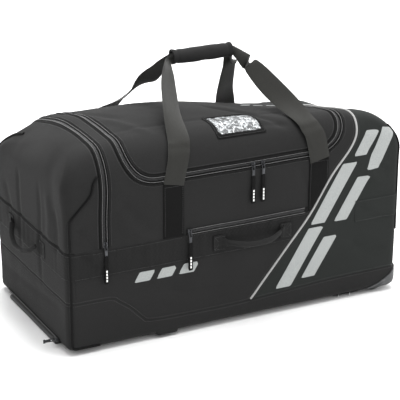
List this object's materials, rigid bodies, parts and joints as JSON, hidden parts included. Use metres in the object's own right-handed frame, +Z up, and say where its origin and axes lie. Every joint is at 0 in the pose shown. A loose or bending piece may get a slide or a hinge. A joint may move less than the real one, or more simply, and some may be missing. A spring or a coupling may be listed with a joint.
{
  "type": "wheeled hockey equipment bag",
  "caption": "Large soft equipment bag with U-zip lid, hinged end compartment, carry straps joined in a grip, grab handles and two corner wheels",
  "frame": {"origin": "centre of the whole bag's bounding box in plan, on the floor", "axes": "+X along the bag's length towards the wheels, +Y from the front with the straight lid zip towards the rear, +Z up"},
  "size_m": [0.878, 0.4714, 0.597],
  "materials": {
    "body_fabric": "woven polyester, coated inside, black",
    "panel_fabric": "woven polyester, dark charcoal",
    "webbing": "flat woven polyester webbing, dark grey",
    "band_webbing": "ribbed woven band, black",
    "zip_tape": "woven zip tape with moulded coil, black",
    "piping_black": "corded piping, black",
    "piping_silver": "corded reflective piping, silver grey",
    "lining": "polyester lining, dark grey",
    "board": "extruded polyethylene board, black",
    "guard_plastic": "injection-moulded polypropylene, mid grey",
    "hub_plastic": "moulded nylon, black",
    "tyre": "polyurethane tyre, black",
    "steel": "zinc-plated steel",
    "bearing_steel": "ground bearing steel",
    "slider_metal": "die-cast zinc, gunmetal",
    "pull": "metal tab with moulded rubber tip, black and white",
    "foot": "moulded foot bar, black",
    "clear_pvc": "clear PVC film",
    "card": "blank paper card, white",
    "binding": "woven binding, black"
  },
  "bodies": {
    "root": {"axle_front": "steel", "axle_rear": "steel", "back_wall": "body_fabric", "base_board": "board", "base_tub": "body_fabric", "base_zip_tape": "zip_tape", "divider_panel": "lining", "end_handle_patches": "band_webbing", "end_zip_fixed_tape": "zip_tape", "foot_bar": "foot", "front_corner_piping": "piping_black", "front_handle_patches": "band_webbing", "front_strap_anchors": "webbing", "front_wall": "body_fabric", "housing_screws_front": "steel", "housing_screws_rear": "steel", "left_end_wall": "body_fabric", "left_top_strip": "body_fabric", "lid_zip_lower_tape": "zip_tape", "pocket_pouch": "lining", "pocket_zip_tape": "zip_tape", "rear_corner_piping": "piping_black", "rear_strap_anchors": "webbing", "right_end_panel": "panel_fabric", "right_top_strip": "body_fabric", "silver_piping": "piping_silver", "waist_band_left": "band_webbing", "waist_band_right": "band_webbing", "wheel_housing_front": "guard_plastic", "wheel_housing_rear": "guard_plastic"},
    "lid": {"lid_shell": "body_fabric", "lid_zip_upper_tape": "zip_tape", "id_window_frame": "binding", "id_window_film": "clear_pvc", "id_card": "card"},
    "end_hood": {"end_hood_shell": "body_fabric", "hood_zip_tape": "zip_tape", "hood_piping": "piping_black"},
    "front_loop": {"front_loop_webbing": "webbing", "grip_wrap": "binding"},
    "rear_loop": {"rear_loop_webbing": "webbing"},
    "wheel_front": {"wheel_hub_front": "hub_plastic", "wheel_tyre_front": "tyre", "wheel_bearings_front": "bearing_steel"},
    "wheel_rear": {"wheel_hub_rear": "hub_plastic", "wheel_tyre_rear": "tyre", "wheel_bearings_rear": "bearing_steel"},
    "main_left_slider": {"main_left_slider": "slider_metal"},
    "main_left_pull": {"main_left_pull": "pull"},
    "main_right_slider": {"main_right_slider": "slider_metal"},
    "main_right_pull": {"main_right_pull": "pull"},
    "end_slider": {"end_slider": "slider_metal"},
    "end_pull": {"end_pull": "pull"},
    "pocket_slider": {"pocket_slider": "slider_metal"},
    "pocket_pull": {"pocket_pull": "pull"},
    "base_slider": {"base_slider": "slider_metal"},
    "base_pull": {"base_pull": "pull"},
    "front_grab_handle": {"front_grab_handle": "band_webbing"},
    "end_grab_handle": {"end_grab_handle": "band_webbing"}
  },
  "joints": [
    {"name": "lid_open", "type": "hinge", "parent": "root", "child": "lid", "pos_m": [0.016, 0.21017, 0.3994], "axis": [-1, 0, 0], "range_deg": [0, 100], "deforming": ["front_loop_webbing", "rear_loop_webbing"]},
    {"name": "front_loop_drop", "type": "hinge", "parent": "root", "child": "front_loop", "pos_m": [0.016, -0.20413, 0.3607], "axis": [1, 0, 0], "range_deg": [0, 220]},
    {"name": "rear_loop_drop", "type": "hinge", "parent": "root", "child": "rear_loop", "pos_m": [0.016, 0.23447, 0.3287], "axis": [-1, 0, 0], "range_deg": [0, 200]},
    {"name": "hood_open", "type": "hinge", "parent": "root", "child": "end_hood", "pos_m": [-0.404, 0.01517, 0.24], "axis": [0, -1, 0], "range_deg": [0, 90]},
    {"name": "front_wheel_spin", "type": "hinge", "parent": "root", "child": "wheel_front", "pos_m": [0.382, -0.17683, 0.036], "axis": [0, 1, 0], "continuous": true},
    {"name": "rear_wheel_spin", "type": "hinge", "parent": "root", "child": "wheel_rear", "pos_m": [0.382, 0.20717, 0.036], "axis": [0, 1, 0], "continuous": true},
    {"name": "main_left_slide", "type": "slide", "parent": "root", "child": "main_left_slider", "axis": [1, 0, 0], "range_m": [-0.148, 0]},
    {"name": "main_left_pull_swing", "type": "hinge", "parent": "main_left_slider", "child": "main_left_pull", "pos_m": [0.043, -0.20963, 0.375], "axis": [-1, 0, 0], "range_deg": [0, 120]},
    {"name": "main_right_slide", "type": "slide", "parent": "root", "child": "main_right_slider", "axis": [1, 0, 0], "range_m": [0, 0.108]},
    {"name": "main_right_pull_swing", "type": "hinge", "parent": "main_right_slider", "child": "main_right_pull", "pos_m": [0.068, -0.20963, 0.375], "axis": [-1, 0, 0], "range_deg": [0, 120]},
    {"name": "end_slide", "type": "slide", "parent": "root", "child": "end_slider", "axis": [0, 0, 1], "range_m": [0, 0.118]},
    {"name": "end_pull_swing", "type": "hinge", "parent": "end_slider", "child": "end_pull", "pos_m": [-0.316, -0.20963, 0.249], "axis": [-1, 0, 0], "range_deg": [0, 120]},
    {"name": "pocket_slide", "type": "slide", "parent": "root", "child": "pocket_slider", "axis": [1, 0, 0], "range_m": [0, 0.285], "deforming": ["pocket_pull"]},
    {"name": "pocket_pull_swing", "type": "hinge", "parent": "pocket_slider", "child": "pocket_pull", "pos_m": [-0.114, -0.21113, 0.2435], "axis": [-1, 0, 0], "range_deg": [0, 120]},
    {"name": "base_slide", "type": "slide", "parent": "root", "child": "base_slider", "axis": [0, 1, 0], "range_m": [0, 0.29]},
    {"name": "base_pull_swing", "type": "hinge", "parent": "base_slider", "child": "base_pull", "pos_m": [-0.413, -0.13583, 0.018], "axis": [0, 0, 1], "range_deg": [-60, 60]},
    {"name": "front_handle_lift", "type": "hinge", "parent": "root", "child": "front_grab_handle", "pos_m": [0.0455, -0.21283, 0.205], "axis": [-1, 0, 0], "range_deg": [0, 100]},
    {"name": "end_handle_lift", "type": "hinge", "parent": "root", "child": "end_grab_handle", "pos_m": [-0.415, 0.02917, 0.207], "axis": [0, 1, 0], "range_deg": [0, 80]}
  ],
  "couplings": [
    {"joint": "front_loop_drop", "follows": "lid_open", "ratio": 2.2},
    {"joint": "rear_loop_drop", "follows": "lid_open", "ratio": 2}
  ]
}
